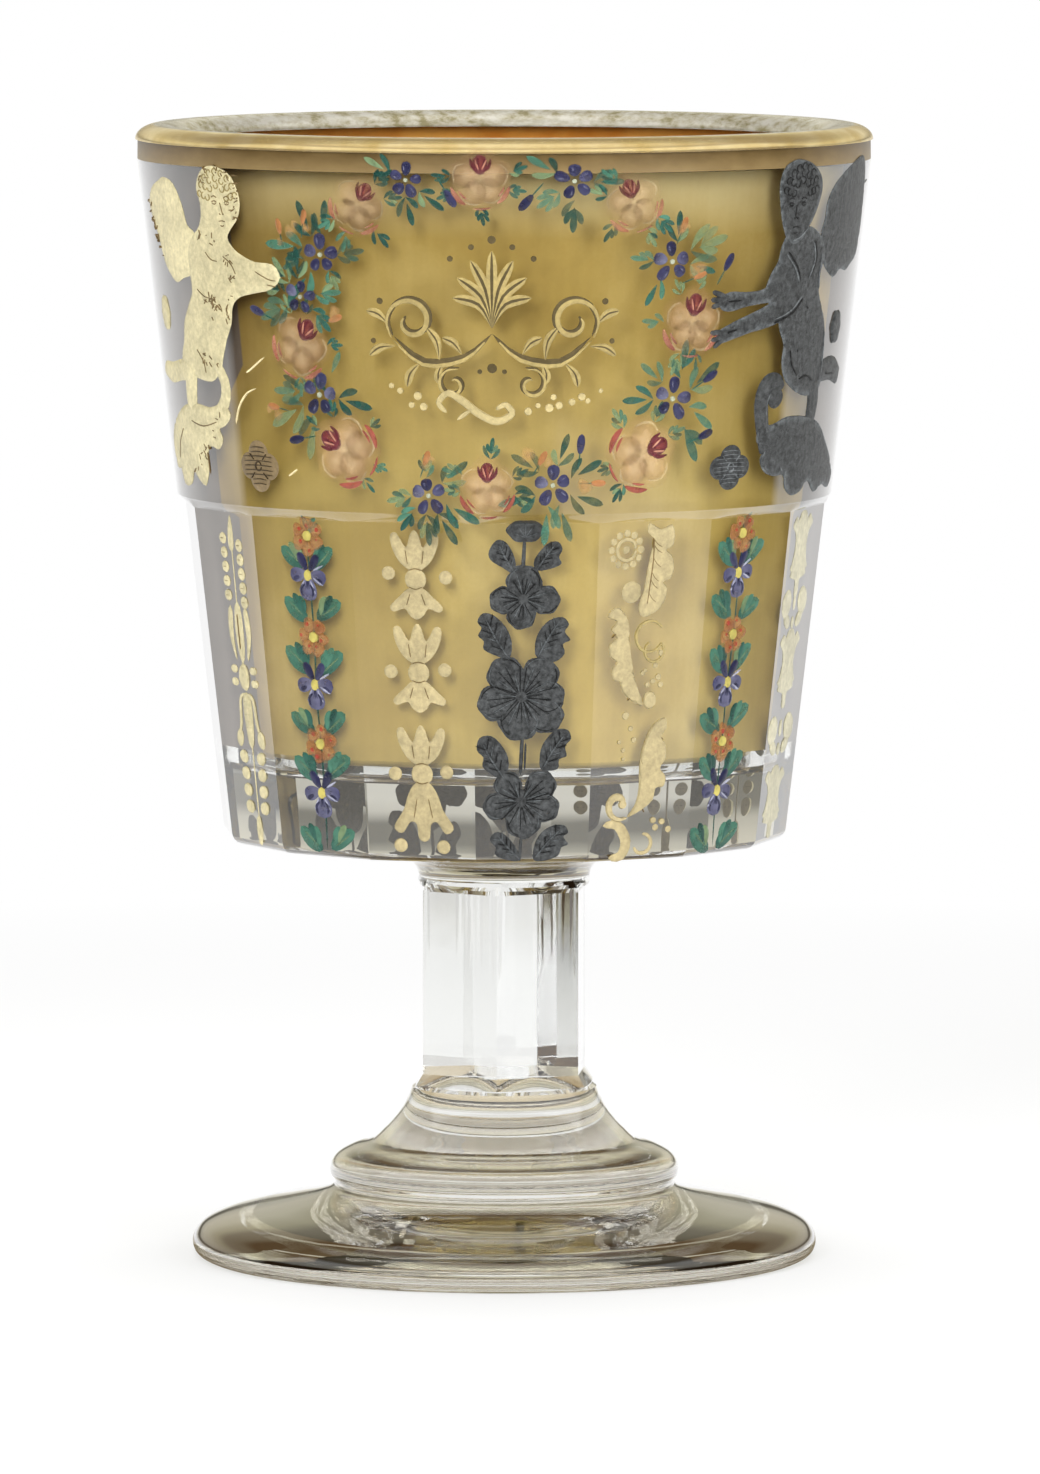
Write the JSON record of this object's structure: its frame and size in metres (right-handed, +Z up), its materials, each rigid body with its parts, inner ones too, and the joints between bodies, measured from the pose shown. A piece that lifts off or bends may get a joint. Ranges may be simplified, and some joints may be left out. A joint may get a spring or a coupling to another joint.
{
  "type": "double-walled goblet",
  "caption": "Footed drinking goblet with a gilded inner beaker sealed in a clear, partly faceted glass jacket on a hexagonal stem.",
  "frame": {"origin": "centre of the flat resting ring under the foot", "axes": "+Z up along the goblet's axis; the front with the wreath faces -Y"},
  "size_m": [0.0908, 0.0908, 0.14],
  "materials": {
    "clear_glass": "clear, cut and polished",
    "liner_glass": "clear, blown",
    "gold_leaf": "thin leaf laid behind glass, slightly mottled",
    "cement": "dark resin cement",
    "silver_leaf": "thin leaf laid on the jacket, engraved and tarnished",
    "enamel": "fired translucent enamel, painted in several colours",
    "rim_gold": "fired gilding, worn on the crest"
  },
  "bodies": {
    "root": {"foot": "clear_glass", "knop": "clear_glass", "stem": "clear_glass", "collar": "clear_glass", "bowl_jacket": "clear_glass", "inner_liner": "liner_glass", "gold_leaf_wall": "gold_leaf", "gold_leaf_floor": "gold_leaf", "cement_ring": "cement", "rim_gilding": "rim_gold"}
  },
  "joints": []
}
